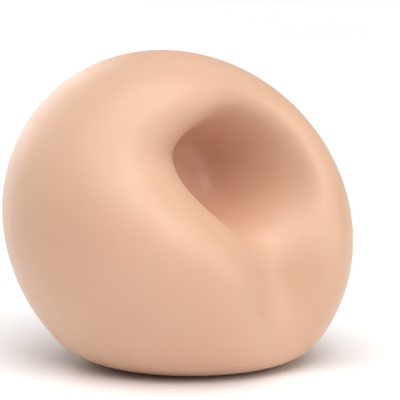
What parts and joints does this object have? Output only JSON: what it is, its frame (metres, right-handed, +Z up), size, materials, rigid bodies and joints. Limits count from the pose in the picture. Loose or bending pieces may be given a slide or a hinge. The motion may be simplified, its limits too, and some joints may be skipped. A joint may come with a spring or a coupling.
{
  "type": "stress ball",
  "caption": "Soft dough-filled stress ball on a flattened base, held in the shape a fingertip leaves: a deep dent in its side that slides back out to the round ball.",
  "frame": {"origin": "centre of the flat patch that the ball stands on, straight under the centre of the round ball", "axes": "+Z up out of the desk; +X towards the side that the finger presses from, so the dent opens towards +X and 10 degrees upward; +Y completes the right-handed frame"},
  "size_m": [0.0616, 0.066, 0.0582],
  "materials": {
    "skin": "satin, soft thermoplastic rubber",
    "filling": "matte, thick dough",
    "plug": "satin",
    "glue": "glossy, cured adhesive"
  },
  "bodies": {
    "ball": {"outer_skin": "skin", "dough_filling": "filling", "fill_plug": "plug", "plug_glue": "glue"},
    "press_patch": {"press_patch": "skin"}
  },
  "joints": [
    {"name": "finger_press", "type": "slide", "parent": "ball", "child": "press_patch", "axis": [0.9936, 0, 0.1132], "range_m": [0, 0.032]}
  ]
}
